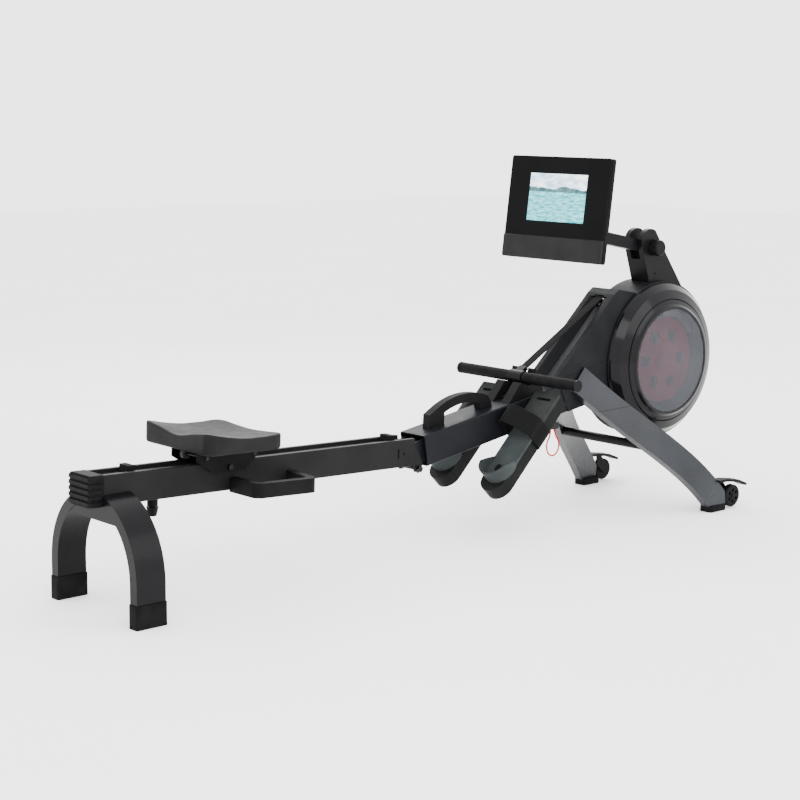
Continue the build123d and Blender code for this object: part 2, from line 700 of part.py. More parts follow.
# Blocks that carry the foot boards on the beam's sides, and lugs under the beam.
PIN_X = 412.0
PIN_Z = 286.0
PIN_R = 5.0
with BuildPart() as board_brackets:
    for side, sign in SIDES:
        bracket_plane = Plane(origin=foot_plane.origin + Vector(0, sign * (BOARD_Y - BOARD_HALF), 0),
                              x_dir=foot_dir, z_dir=(0, -1, 0))
        with BuildSketch(bracket_plane):
            with Locations((248, -35)):
                RectangleRounded(74, 30, 5)
        extrude(amount=sign * (BOARD_Y - BOARD_HALF - BEAM_WIDTH / 2))
    # Two lugs for the release pin.
    for lug_y in (48, -44):
        with BuildSketch(side_at(lug_y)):
            with BuildLine():
                Polyline((392, 273), (432, 273), (440, 320), (384, 320), close=True)
            make_face()
            with Locations((PIN_X, PIN_Z)):
                Circle(PIN_R + RUNNING_GAP, mode=Mode.SUBTRACT)
        extrude(amount=4)
    with BuildSketch(beam_side.offset(-BEAM_WIDTH / 2)):
        with Locations((BEAM_LENGTH / 2, 0)):
            Rectangle(BEAM_LENGTH, BEAM_HEIGHT)
    extrude(amount=BEAM_WIDTH, mode=Mode.SUBTRACT)
board_brackets.part.label = "beam_brackets"
export_step(board_brackets.part, "parts/beam_brackets.step")

# ============================================================ release pin
PIN_HEAD_Y = -57.0
PIN_HEAD_FOOT = 276.0
with BuildPart() as release_pin:
    with BuildSketch(side_at(56)):
        with Locations((PIN_X, PIN_Z)):
            Circle(PIN_R)
    extrude(amount=110)
    with BuildSketch(side_at(-49)):
        with Locations((PIN_X + 3, PIN_HEAD_FOOT + 9)):
            RectangleRounded(34, 18, 3)
    extrude(amount=16)
release_pin.part.label = "release_pin"
export_step(release_pin.part, "parts/release_pin.step")

# Pull loop: a limp cord whose two ends are held in the pin's head.
LOOP_R = 2.2
LOOP_POINTS = ((424, 276), (424, 258), (444, 236), (440, 208), (417, 194),
               (394, 208), (390, 236), (406, 256), (406, 276))


def bend_radii(points):
    """Radius of the arc at every corner of a cord's path."""
    radii = []
    for before, corner, after in zip(points, points[1:], points[2:]):
        run_in = Vector(*corner) - Vector(*before)
        run_out = Vector(*after) - Vector(*corner)
        half_turn = radians(run_in.get_angle(run_out) / 2)
        radii.append(0.45 * min(run_in.length, run_out.length) / tan(half_turn))
    return radii


loop_points = [(x, PIN_HEAD_Y, z) for x, z in LOOP_POINTS]
loop_radii = bend_radii(loop_points)
with BuildPart() as pull_loop:
    with BuildLine() as loop_line:
        FilletPolyline(*loop_points, radius=loop_radii)
    with BuildSketch(Plane(origin=loop_points[0], z_dir=(0, 0, -1))):
        Circle(LOOP_R)
    sweep()
pull_loop.part.label = "pull_loop_cord"
export_step(pull_loop.part, "parts/pull_loop_cord.step")
print("pull_loop_cord bend radii", [round(radius, 1) for radius in loop_radii])
print("pull_loop_cord length", round(sum(edge.length for edge in loop_line.edges()), 1))

# ==================================================================== shroud
VALLEY_HALF = 34.0
VALLEY_DEEP = 12.0
RIM_CLEAR = DRUM_R + 0.4
SLOPE_LOW = Vector(437.5, 0, 424.5)
SLOPE_HIGH = Vector(670.0, 0, 641.5)
slope_run = (SLOPE_HIGH - SLOPE_LOW).normalized()
slope_out = Vector(-slope_run.Z, 0, slope_run.X)
slope_section = Plane(origin=SLOPE_LOW, x_dir=(0, 1, 0), z_dir=slope_run)


def shroud_solid(inset):
    """Shroud's body with its skin moved inwards, less the valley in its rear face."""
    floor = -VALLEY_DEEP - inset
    brow = VALLEY_HALF + 2 * inset
    with BuildPart() as body:
        with BuildSketch(side_at(SHROUD_HALF - inset)):
            with BuildLine():
                Polyline((400 + 2.4 * inset, 388), (437.5 + inset, 424.5 - 0.5 * inset),
                         (670 + 0.5 * inset, 641.5 - 1.4 * inset), (691, 655 - inset),
                         (768, 641 - inset), (790, 600), (700, 440), (690, 346 + inset),
                         (664, 346 + inset), (486 + inset, 316.8 + inset),
                         (448 + inset, 395.2), close=True)
            make_face()
        extrude(amount=2 * (SHROUD_HALF - inset))
        with BuildSketch(side_at(SHROUD_HALF)):
            with Locations((DRUM_X, DRUM_Z)):
                Circle(RIM_CLEAR)
        extrude(amount=2 * SHROUD_HALF, mode=Mode.SUBTRACT)
        with BuildSketch(slope_section.offset(-60)):
            with BuildLine():
                Polyline((-brow, 20), (-brow, 0), (0, floor), (brow, 0), (brow, 20), close=True)
            make_face()
        extrude(amount=366 + inset, mode=Mode.SUBTRACT)
    return body.part


mouth = Vector(MOUTH[0], 0, MOUTH[1])
shroud_outer = shroud_solid(0)
shroud_inner = shroud_solid(SHELL)
for side, sign in SIDES:
    with BuildPart() as shroud:
        add(shroud_outer)
        add(shroud_inner, mode=Mode.SUBTRACT)
        # Room for the beam and for this side's front leg.
        with BuildSketch(beam_side.offset(-BEAM_WIDTH / 2 - 0.1)):
            with Locations((BEAM_LENGTH / 2, 0)):
                Rectangle(BEAM_LENGTH + 0.2, BEAM_HEIGHT + 0.2)
        extrude(amount=BEAM_WIDTH + 0.2, mode=Mode.SUBTRACT)
        add(leg_parts[side], mode=Mode.SUBTRACT)
        # Mouth of the drive strap.
        with BuildSketch(Plane(origin=mouth, x_dir=(0, 1, 0), z_dir=slope_out)):
            with Locations((0, -4.5)):
                RectangleRounded(37, 39, 5)
        extrude(amount=-24, mode=Mode.SUBTRACT)
        # Groove along the seam between upper and lower covers.
        for groove_y in (SHROUD_HALF, 0.8 - SHROUD_HALF):
            with BuildSketch(side_at(groove_y)):
                with BuildLine():
                    Polyline((467, 417), (644, 450), (643, 453), (466, 420), close=True)
                make_face()
            extrude(amount=0.8, mode=Mode.SUBTRACT)
        split(bisect_by=Plane(origin=(0, 0, 0), z_dir=(0, sign, 0)), keep=Keep.TOP)
    shroud_skin = shroud.part.solids().sort_by(SortBy.VOLUME)[-1]
    shroud_skin.label = f"shroud_{side}"
    export_step(shroud_skin, f"parts/shroud_{side}.step")

# ====================================================================== drum
# Two moulded half shells that meet on the machine's middle plane.
for side, sign in SIDES:
    outer_y = max(0, sign * DRUM_HALF)
    flange_y = DRUM_HALF if sign > 0 else DRUM_WALL - DRUM_HALF
    with BuildPart() as drum_half:
        with BuildSketch(side_at(outer_y)):
            with Locations((DRUM_X, DRUM_Z)):
                Circle(DRUM_R)
                Circle(DRUM_R - DRUM_WALL, mode=Mode.SUBTRACT)
        extrude(amount=DRUM_HALF)
        with BuildSketch(side_at(flange_y)):
            with Locations((DRUM_X, DRUM_Z)):
                Circle(DRUM_R)
                Circle(200, mode=Mode.SUBTRACT)
        extrude(amount=DRUM_WALL)
        # Opening inside the shroud for the strap and the frame plates.
        with BuildSketch(side_at(44)):
            with BuildLine():
                Polyline((870, 440), (739, 650), (600, 650), (600, 338), (640, 338), close=True)
            make_face()
        extrude(amount=88, mode=Mode.SUBTRACT)
        # Screw notches in the rim.
        with BuildSketch(side_at(outer_y)):
            with Locations((DRUM_X, DRUM_Z)):
                with PolarLocations(DRUM_R, 3, start_angle=30):
                    Circle(3)
        extrude(amount=DRUM_HALF, mode=Mode.SUBTRACT)
    drum_half.part.label = f"drum_shell_{side}"
    export_step(drum_half.part, f"parts/drum_shell_{side}.step")

# Profiles drawn here have the radius as x and the place across the machine as y.
drum_section = Plane(origin=(DRUM_X, 0, DRUM_Z), x_dir=(1, 0, 0), z_dir=(0, 0, 1))
drum_axis = Axis((DRUM_X, 0, DRUM_Z), (0, 1, 0))

# Gloss trim rings: a cone from the drum's flange to the window's bezel.
with BuildPart() as drum_rings:
    for side, sign in SIDES:
        with BuildSketch(drum_section):
            with BuildLine():
                profile = ((229, 56), (227, 61), (RING_R, 81), (184, 91), (183, 88), (181, 89),
                           (180.5, 92.3), (168, 97), (161, 103), (154, 103),
                           (154, 99), (158, 98), (165, 93), (RING_R - 3, 77), (223, 56))
                Polyline(*[(r, sign * y) for r, y in profile], close=True)
            make_face()
        revolve(axis=drum_axis)
drum_rings.part.label = "drum_rings"
export_step(drum_rings.part, "parts/drum_rings.step")

# Slightly domed smoked windows.
with BuildPart() as drum_windows:
    for side, sign in SIDES:
        with BuildSketch(drum_section):
            with BuildLine():
                dome = ((0, 107), (40, 106.6), (100, 104.7), (153.8, 101.5),
                        (153.8, 99), (100, 102.2), (40, 104.1), (0, 104.5))
                Polyline(*[(r, sign * y) for r, y in dome], close=True)
            make_face()
        revolve(axis=drum_axis)
drum_windows.part.label = "drum_windows"
export_step(drum_windows.part, "parts/drum_windows.step")

# ================================================================= drum's inside
SPOOL_X = 758.0
SPOOL_Z = 470.0
SPOOL_R = 35.0
SPOOL_SHAFT_R = 8.0
SPOOL_PULLEY_R = 60.0
IDLER_X = 690.0
IDLER_Z = 626.0
IDLER_R = 15.0
IDLER_SHAFT_R = 4.0
FLY_R = 128.0
FLY_SHAFT_R = 10.0
FLY_PULLEY_R = 28.0
BEARING_R = 20.0
PLATE_Y = 36.0
PLATE_THICK = 4.0

# Two steel plates that run from the beam into the drum.
with BuildPart() as frame_plates:
    for plate_y in (PLATE_Y + PLATE_THICK, -PLATE_Y):
        with BuildSketch(side_at(plate_y)):
            with BuildLine():
                Polyline((540, 335), (623, 345), (895, 395), (930, 440), (985, 622), (880, 630),
                         (862, 520), (790, 520), (712, 640), (676, 640), (674, 590), (700, 500),
                         (690, 430), (620, 418), (540, 400), close=True)
            make_face()
            with Locations((DRUM_X, DRUM_Z)):
                Circle(BEARING_R, mode=Mode.SUBTRACT)
            with Locations((SPOOL_X, SPOOL_Z)):
                Circle(SPOOL_SHAFT_R + RUNNING_GAP, mode=Mode.SUBTRACT)
            with Locations((IDLER_X, IDLER_Z)):
                Circle(IDLER_SHAFT_R + RUNNING_GAP, mode=Mode.SUBTRACT)
        extrude(amount=PLATE_THICK)
frame_plates.part.label = "drum_frame_plates"
export_step(frame_plates.part, "parts/drum_frame_plates.step")

# Bearings of the flywheel's shaft.
with BuildPart() as bearings:
    for bearing_y in (PLATE_Y + 7, 1 - PLATE_Y):
        with BuildSketch(side_at(bearing_y)):
            with Locations((DRUM_X, DRUM_Z)):
                Circle(BEARING_R)
                Circle(FLY_SHAFT_R + RUNNING_GAP, mode=Mode.SUBTRACT)
        extrude(amount=8)
bearings.part.label = "flywheel_bearings"
export_step(bearings.part, "parts/flywheel_bearings.step")

# Flywheel: a disc on each side of the plates, on one shaft with a pulley.
BELT_LOW = 20.0
BELT_HIGH = 32.0
with BuildPart() as flywheel:
    with BuildSketch(side_at(80)):
        with Locations((DRUM_X, DRUM_Z)):
            Circle(FLY_SHAFT_R)
    extrude(amount=160)
    for disc_y in (70, -58):
        with BuildSketch(side_at(disc_y)):
            with Locations((DRUM_X, DRUM_Z)):
                Circle(FLY_R)
                with PolarLocations(78, 6):
                    Circle(20, mode=Mode.SUBTRACT)
        extrude(amount=12)
    for hub_y in (76, -46):
        with BuildSketch(side_at(hub_y)):
            with Locations((DRUM_X, DRUM_Z)):
                Circle(30)
        extrude(amount=30)
    with BuildSketch(side_at(BELT_HIGH)):
        with Locations((DRUM_X, DRUM_Z)):
            Circle(FLY_PULLEY_R)
    extrude(amount=BELT_HIGH - BELT_LOW)
flywheel.part.label = "flywheel"
export_step(flywheel.part, "parts/flywheel.step")

# Spool that winds the drive strap, with the larger belt pulley as its left flange.
with BuildPart() as spool:
    for face_y, radius, wide in ((44, SPOOL_SHAFT_R, 88), (17, SPOOL_R, 34), (20, 62, 3),
                                 (-17, 62, 3), (BELT_HIGH, SPOOL_PULLEY_R, BELT_HIGH - 20)):
        with BuildSketch(side_at(face_y)):
            with Locations((SPOOL_X, SPOOL_Z)):
                Circle(radius)
        extrude(amount=wide)
spool.part.label = "strap_spool"
export_step(spool.part, "parts/strap_spool.step")

# Idler that turns the strap from the mouth down to the spool.
with BuildPart() as idler:
    for face_y, radius, wide in ((42, IDLER_SHAFT_R, 84), (20, IDLER_R, 40)):
        with BuildSketch(side_at(face_y)):
            with Locations((IDLER_X, IDLER_Z)):
                Circle(radius)
        extrude(amount=wide)
idler.part.label = "strap_idler"
export_step(idler.part, "parts/strap_idler.step")

# Case of the spiral return spring, beside the spool.
with BuildPart() as spring_case:
    with BuildSketch(side_at(-20.5)):
        with Locations((SPOOL_X, SPOOL_Z)):
            Circle(45)
            Circle(SPOOL_SHAFT_R + RUNNING_GAP, mode=Mode.SUBTRACT)
    extrude(amount=PLATE_Y - 20.5)
spring_case.part.label = "return_spring_case"
export_step(spring_case.part, "parts/return_spring_case.step")

# Belt from the spool's pulley to the flywheel's pulley.
BELT_GAP = 0.3
BELT_THICK = 2.5
with BuildPart() as belt:
    for grow, mode in ((BELT_GAP + BELT_THICK, Mode.ADD), (BELT_GAP, Mode.SUBTRACT)):
        with BuildSketch(side_at(BELT_HIGH - 1)):
            with Locations((SPOOL_X, SPOOL_Z)):
                Circle(SPOOL_PULLEY_R + grow)
            with Locations((DRUM_X, DRUM_Z)):
                Circle(FLY_PULLEY_R + grow)
            make_hull()
        extrude(amount=BELT_HIGH - BELT_LOW - 2, mode=mode)
belt.part.label = "drive_belt"
export_step(belt.part, "parts/drive_belt.step")

# Magnet carriers of the brake: an arc round each disc, on a foot from the plate.
BRAKE_ANGLE = 64.0
brake_mid = Vector(cos(radians(BRAKE_ANGLE)), sin(radians(BRAKE_ANGLE)))
with BuildPart() as brake:
    for arc_y, foot_y in ((76, 54), (-54, -PLATE_Y - PLATE_THICK)):
        with BuildSketch(side_at(arc_y)):
            with Locations((DRUM_X, DRUM_Z)):
                Circle(152)
                Circle(132, mode=Mode.SUBTRACT)
                with Locations((160 * brake_mid.X, 160 * brake_mid.Y)):
                    Rectangle(150, 90, rotation=BRAKE_ANGLE - 90, mode=Mode.INTERSECT)
        extrude(amount=22)
        with BuildSketch(side_at(foot_y)):
            with Locations((DRUM_X + 141 * brake_mid.X, DRUM_Z + 141 * brake_mid.Y)):
                Rectangle(26, 14, rotation=BRAKE_ANGLE - 90)
        extrude(amount=14)
brake.part.label = "magnet_brake"
export_step(brake.part, "parts/magnet_brake.step")

# ====================================================================== mast
MAST_HALF = 34.0
FORK_HALF = 17.0
FORK_FLOOR = 735.0
KNOB_STEM_R = 6.0
with BuildPart() as mast:
    with BuildSketch(side_at(MAST_HALF)):
        with BuildLine():
            Polyline((846, 620), (846, 666), (809, 774))
            ThreePointArc((809, 774), (834, 823), (870, 818))
            Polyline((870, 818), (887, 794), (924, 744), (1004, 640), (1004, 620), (846, 620))
        make_face()
        with Locations((PIVOT_X, PIVOT_Z)):
            Circle(KNOB_STEM_R + RUNNING_GAP, mode=Mode.SUBTRACT)
    extrude(amount=2 * MAST_HALF)
    with BuildSketch(side_at(FORK_HALF)):
        with Locations((870, FORK_FLOOR + 60)):
            Rectangle(260, 120)
    extrude(amount=2 * FORK_HALF, mode=Mode.SUBTRACT)
    with BuildSketch(side_at(MAST_HALF)):
        with Locations((DRUM_X, DRUM_Z)):
            Circle(RIM_CLEAR)
    extrude(amount=2 * MAST_HALF, mode=Mode.SUBTRACT)
    # Screw sockets below the knob.
    for socket_y in (MAST_HALF, 3 - MAST_HALF):
        with BuildSketch(side_at(socket_y)):
            with Locations((PIVOT_X + 12, PIVOT_Z - 78)):
                Circle(3)
        extrude(amount=3, mode=Mode.SUBTRACT)
mast.part.label = "console_mast"
export_step(mast.part, "parts/console_mast.step")

# Knob whose stem is the pivot of the console arm.
with BuildPart() as mast_knob:
    with BuildSketch(side_at(38)):
        with Locations((PIVOT_X, PIVOT_Z)):
            Circle(KNOB_STEM_R)
    extrude(amount=74)
    with BuildSketch(side_at(40.5)):
        with Locations((PIVOT_X, PIVOT_Z)):
            RegularPolygon(11, 6)
    extrude(amount=6)
    with BuildSketch(side_at(-MAST_HALF - 0.4)):
        with Locations((PIVOT_X, PIVOT_Z)):
            Circle(24)
    extrude(amount=30)
    fillet(mast_knob.faces().sort_by(Axis.Y)[0].edges(), 6)
mast_knob.part.label = "mast_knob"
export_step(mast_knob.part, "parts/mast_knob.step")

# Arm between the mast and the console.
ARM_TALL = 35.0
TILT_R = 5.0
arm_run = Vector(TILT_X - PIVOT_X, 0, TILT_Z - PIVOT_Z)
arm_plane = Plane(origin=(PIVOT_X, 16, PIVOT_Z), x_dir=arm_run.normalized(), z_dir=(0, -1, 0))
with BuildPart() as console_arm:
    with BuildSketch(arm_plane):
        with Locations((arm_run.length / 2, 0)):
            SlotCenterToCenter(arm_run.length, ARM_TALL)
        Circle(KNOB_STEM_R + RUNNING_GAP, mode=Mode.SUBTRACT)
        with Locations((arm_run.length, 0)):
            Circle(TILT_R + RUNNING_GAP, mode=Mode.SUBTRACT)
    extrude(amount=32)
console_arm.part.label = "console_arm"
export_step(console_arm.part, "parts/console_arm.step")

# =================================================================== console
GLASS_THICK = 4.0
GLASS_LOW = CONSOLE_TALL / -2 + BAR_TALL
GLASS_MID = (GLASS_LOW + CONSOLE_TALL / 2) / 2
LCD_WIDE = 217.0
LCD_TALL = 135.0
LCD_MID = 30.0
CORNER_R = 7.0
with BuildPart() as rear_shell:
    with BuildSketch(console_plane.offset(-CONSOLE_THICK)):
        RectangleRounded(CONSOLE_WIDE, CONSOLE_TALL, CORNER_R)
    extrude(amount=CONSOLE_THICK - GLASS_THICK)
    chamfer(rear_shell.faces().sort_by(Axis.X)[-1].edges(), 6)
    with BuildSketch(console_plane.offset(3 - CONSOLE_THICK)):
        RectangleRounded(CONSOLE_WIDE - 16, CONSOLE_TALL - 16, 4)
    extrude(amount=CONSOLE_THICK - GLASS_THICK - 3, mode=Mode.SUBTRACT)
    # Lugs for the tilt pin.
    for lug_y in (23, -17):
        with BuildSketch(side_at(lug_y)):
            with Locations((TILT_X, TILT_Z)):
                Circle(13)
            with Locations(Location((TILT_X - 15, TILT_Z - 2, 0), (0, 0, -CONSOLE_LEAN))):
                Rectangle(30, 44)
        extrude(amount=6)
    with BuildSketch(console_plane.offset(3 - CONSOLE_THICK)):
        RectangleRounded(CONSOLE_WIDE - 16, CONSOLE_TALL - 16, 4)
    extrude(amount=60, mode=Mode.SUBTRACT)
    with BuildSketch(side_at(23)):
        with Locations((TILT_X, TILT_Z)):
            Circle(TILT_R)
    extrude(amount=46, mode=Mode.SUBTRACT)
rear_shell.part.label = "console_rear_shell"
export_step(rear_shell.part, "parts/console_rear_shell.step")

# Pin through the lugs and the arm.
with BuildPart() as tilt_pin:
    with BuildSketch(side_at(25)):
        with Locations((TILT_X, TILT_Z)):
            Circle(TILT_R)
    extrude(amount=50)
    for head_y in (28, -23):
        with BuildSketch(side_at(head_y)):
            with Locations((TILT_X, TILT_Z)):
                Circle(9)
        extrude(amount=5)
tilt_pin.part.label = "console_tilt_pin"
export_step(tilt_pin.part, "parts/console_tilt_pin.step")

# Front glass with an opening for the screen.
with BuildPart() as front_glass:
    with BuildSketch(console_plane.offset(-GLASS_THICK)):
        RectangleRounded(CONSOLE_WIDE, CONSOLE_TALL, CORNER_R)
        with Locations((0, GLASS_LOW - 100)):
            Rectangle(2 * CONSOLE_WIDE, 200, mode=Mode.SUBTRACT)
        with Locations((0, LCD_MID)):
            Rectangle(LCD_WIDE + 0.4, LCD_TALL + 0.4, mode=Mode.SUBTRACT)
    extrude(amount=GLASS_THICK)
front_glass.part.label = "console_front_glass"
export_step(front_glass.part, "parts/console_front_glass.step")

with BuildPart() as lcd:
    with BuildSketch(console_plane.offset(-9)):
        with Locations((0, LCD_MID)):
            Rectangle(LCD_WIDE, LCD_TALL)
    extrude(amount=8.7)
lcd.part.label = "lcd_screen"
export_step(lcd.part, "parts/lcd_screen.step")

# Circuit board behind the screen.
with BuildPart() as circuit_board:
    with BuildSketch(console_plane.offset(-20)):
        Rectangle(220, 150)
    extrude(amount=1.6)
    with BuildSketch(console_plane.offset(-20)):
        with Locations((-80, 50), (80, 50), (-80, -50), (80, -50)):
            Circle(4)
    extrude(amount=-3)
circuit_board.part.label = "console_circuit_board"
export_step(circuit_board.part, "parts/console_circuit_board.step")

# Control bar below the glass.
with BuildPart() as control_bar:
    with BuildSketch(console_plane.offset(-GLASS_THICK)):
        RectangleRounded(CONSOLE_WIDE, CONSOLE_TALL, CORNER_R)
        with Locations((0, GLASS_LOW + 150)):
            Rectangle(2 * CONSOLE_WIDE, 300, mode=Mode.SUBTRACT)
    extrude(amount=GLASS_THICK + 6)
    chamfer(control_bar.faces().sort_by(Axis.X)[0].edges(), 3)
control_bar.part.label = "console_control_bar"
export_step(control_bar.part, "parts/console_control_bar.step")

# ============================================================ handle and strap
BAR_R = 11.0
STRAP_RISE = 29.73
DRIVE_WIDE = 30.0
DRIVE_THICK = 3.0
DRIVE_FREE = 341.0
strap_dir = Vector(cos(radians(STRAP_RISE)), 0, sin(radians(STRAP_RISE)))
drive_start = mouth - strap_dir * DRIVE_FREE
with BuildPart() as handle_bar:
    with BuildSketch(side_at(BAR_HALF + 2)):
        with Locations((BAR_X, BAR_Z)):
            Circle(BAR_R)
    extrude(amount=2 * BAR_HALF + 4)
    with BuildSketch(side_at(26)):
        with Locations((BAR_X, BAR_Z)):
            Circle(BOSS_R)
    extrude(amount=52)
    for cap_y in (BAR_HALF + 7, -BAR_HALF - 2):
        with BuildSketch(side_at(cap_y)):
            with Locations((BAR_X, BAR_Z)):
                Circle(GRIP_R + 0.5)
        extrude(amount=5)
    # Tongue that clamps the strap's end.
    with BuildSketch(side_at(13)):
        with Locations((drive_start.X - 15.4 * strap_dir.X, drive_start.Z - 15.4 * strap_dir.Z)):
            Rectangle(30, 12, rotation=STRAP_RISE)
    extrude(amount=26)
handle_bar.part.label = "handle_bar"
export_step(handle_bar.part, "parts/handle_bar.step")

with BuildPart() as handle_grips:
    for grip_y in (BAR_HALF, -28):
        with BuildSketch(side_at(grip_y)):
            with Locations((BAR_X, BAR_Z)):
                Circle(GRIP_R)
                Circle(BAR_R, mode=Mode.SUBTRACT)
        extrude(amount=BAR_HALF - 28)
handle_grips.part.label = "handle_grips"
export_step(handle_grips.part, "parts/handle_grips.step")

# Drive strap: straight from the handle to the mouth, over the idler and round the spool.
STRAP_SEAT = DRIVE_THICK / 2 + 0.2
idler_mid = Vector(IDLER_X, 0, IDLER_Z)
spool_mid = Vector(SPOOL_X, 0, SPOOL_Z)
over_idler = IDLER_R + STRAP_SEAT
over_spool = SPOOL_R + STRAP_SEAT
down_angle = -66.4 + 90 + 6.8


def around(middle, radius, angle):
    """Point on a circle in the side plane, as the sketch's x and y."""
    return (middle.X + radius * cos(radians(angle)), middle.Z + radius * sin(radians(angle)))


with BuildPart() as drive_strap:
    with BuildSketch(side_at(DRIVE_WIDE / 2)):
        with BuildLine():
            on_idler = around(idler_mid, over_idler, STRAP_RISE + 90)
            off_idler = around(idler_mid, over_idler, down_angle)
            on_spool = around(spool_mid, over_spool, down_angle)
            Line((drive_start.X, drive_start.Z), on_idler)
            top_angle = (STRAP_RISE + 90 + down_angle) / 2
            ThreePointArc(on_idler, around(idler_mid, over_idler, top_angle), off_idler)
            Line(off_idler, on_spool)
            ThreePointArc(on_spool, around(spool_mid, over_spool, down_angle - 100),
                          around(spool_mid, over_spool, down_angle - 200))
        trace(line_width=DRIVE_THICK)
    extrude(amount=DRIVE_WIDE)
drive_strap.part.label = "drive_strap"
export_step(drive_strap.part, "parts/drive_strap.step")
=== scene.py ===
import math

import bmesh
import bpy
from mathutils import Matrix, Vector


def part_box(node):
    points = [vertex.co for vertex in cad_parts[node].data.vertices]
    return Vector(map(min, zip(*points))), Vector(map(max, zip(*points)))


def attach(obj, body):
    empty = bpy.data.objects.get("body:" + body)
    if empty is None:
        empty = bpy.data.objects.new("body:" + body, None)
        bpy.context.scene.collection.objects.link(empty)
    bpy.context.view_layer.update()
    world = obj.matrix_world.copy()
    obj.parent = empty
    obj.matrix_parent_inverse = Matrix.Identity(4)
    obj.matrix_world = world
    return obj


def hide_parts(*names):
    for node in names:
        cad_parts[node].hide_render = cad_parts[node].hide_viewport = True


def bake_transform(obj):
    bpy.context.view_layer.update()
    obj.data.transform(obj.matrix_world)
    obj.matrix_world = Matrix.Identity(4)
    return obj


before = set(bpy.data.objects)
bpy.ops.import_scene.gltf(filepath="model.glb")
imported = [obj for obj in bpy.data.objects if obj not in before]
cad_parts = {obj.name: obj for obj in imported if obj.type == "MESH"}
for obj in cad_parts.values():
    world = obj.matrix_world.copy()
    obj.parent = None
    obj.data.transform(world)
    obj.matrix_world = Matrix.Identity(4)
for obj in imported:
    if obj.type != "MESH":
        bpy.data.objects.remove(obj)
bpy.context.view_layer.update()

# ------------------------------------------------------------------ camera
CAM_AZ, CAM_EL, CAM_ROLL = (math.radians(a) for a in (-42.30, 9.37, 0.61))
CAM_PLACE = (-3.2301, -3.4170, 1.1687)
CAM_LENS = 79.44
back = Vector((math.sin(CAM_AZ) * math.cos(CAM_EL), -math.cos(CAM_AZ) * math.cos(CAM_EL),
               math.sin(CAM_EL)))
right = Vector((math.cos(CAM_AZ), math.sin(CAM_AZ), 0))
up = back.cross(right)
cam_x = right * math.cos(CAM_ROLL) + up * math.sin(CAM_ROLL)
cam_y = up * math.cos(CAM_ROLL) - right * math.sin(CAM_ROLL)
cam_data = bpy.data.cameras.new("camera")
cam_data.sensor_width = 36
cam_data.lens = CAM_LENS
cam_data.clip_end = 100
camera = bpy.data.objects.new("camera", cam_data)
turned = Matrix((cam_x, cam_y, back)).transposed().to_4x4()
camera.matrix_world = Matrix.Translation(CAM_PLACE) @ turned
bpy.context.collection.objects.link(camera)
bpy.context.scene.camera = camera


# --------------------------------------------------------------- materials
class Mat:
    """A node material on the Principled shader, with object coordinates in metres."""

    def __init__(self, name, rough=0.5, metal=0.0, **sockets):
        self.m = bpy.data.materials.new(name)
        self.m.use_nodes = True
        self.t = self.m.node_tree
        self.t.nodes.clear()
        out = self.node("OutputMaterial")
        self.b = self.node("BsdfPrincipled")
        self.link(self.b.outputs[0], out.inputs[0])
        self.b.inputs["Roughness"].default_value = rough
        self.b.inputs["Metallic"].default_value = metal
        self.b.inputs["Specular IOR Level"].default_value = 0.05
        for key, value in sockets.items():
            self.b.inputs[key.replace("_", " ")].default_value = value
        self.co = self.node("TexCoord").outputs["Object"]
        self.normal = None

    def node(self, kind):
        return self.t.nodes.new("ShaderNode" + kind)

    def link(self, a, b):
        self.t.links.new(a, b)

    def scaled(self, scale, turn=(0, 0, 0)):
        n = self.node("Mapping")
        n.inputs["Scale"].default_value = scale
        n.inputs["Rotation"].default_value = turn
        self.link(self.co, n.inputs["Vector"])
        return n.outputs[0]

    def noise(self, scale, detail=3, coord=None):
        n = self.node("TexNoise")
        n.inputs["Scale"].default_value = scale
        n.inputs["Detail"].default_value = detail
        self.link(coord or self.co, n.inputs["Vector"])
        return n.outputs["Fac"]

    def cells(self, scale):
        n = self.node("TexVoronoi")
        n.inputs["Scale"].default_value = scale
        self.link(self.co, n.inputs["Vector"])
        return n.outputs["Distance"]

    def wave(self, scale, direction="X", coord=None):
        n = self.node("TexWave")
        n.bands_direction = direction
        n.inputs["Scale"].default_value = scale
        self.link(coord or self.co, n.inputs["Vector"])
        return n.outputs["Fac"]

    def split(self):
        """The X, Y and Z of the object coordinates, as outputs."""
        n = self.node("SeparateXYZ")
        self.link(self.co, n.inputs[0])
        return n.outputs

    def ramp(self, fac, stops):
        n = self.node("ValToRGB")
        e = n.color_ramp.elements
        while len(e) < len(stops):
            e.new(0.5)
        for i, (place, colour) in enumerate(stops):
            e[i].position = place
            e[i].color = (*colour, 1)
        self.link(fac, n.inputs[0])
        return n.outputs[0]

    def fill(self, socket, value):
        """Sets a socket to a number or a colour, or links an output to it."""
        if isinstance(value, (int, float, tuple)):
            socket.default_value = value
        else:
            self.link(value, socket)

    def math(self, op, a, b):
        n = self.node("Math")
        n.operation = op
        self.fill(n.inputs[0], a)
        self.fill(n.inputs[1], b)
        return n.outputs[0]

    def mix(self, fac, a, b):
        n = self.node("MixRGB")
        self.link(fac, n.inputs[0])
        self.fill(n.inputs[1], a)
        self.fill(n.inputs[2], b)
        return n.outputs[0]

    def colour(self, fac, dark, light, low=0.35, high=0.65):
        self.link(self.ramp(fac, [(low, dark), (high, light)]), self.b.inputs["Base Color"])

    def roughness(self, fac, low, high):
        n = self.node("MapRange")
        n.inputs["To Min"].default_value = low
        n.inputs["To Max"].default_value = high
        self.link(fac, n.inputs[0])
        self.link(n.outputs[0], self.b.inputs["Roughness"])

    def bump(self, height, strength, distance):
        n = self.node("Bump")
        n.inputs["Strength"].default_value = strength
        n.inputs["Distance"].default_value = distance
        self.link(height, n.inputs["Height"])
        if self.normal is not None:
            self.link(self.normal, n.inputs["Normal"])
        self.normal = n.outputs[0]
        self.link(self.normal, self.b.inputs["Normal"])


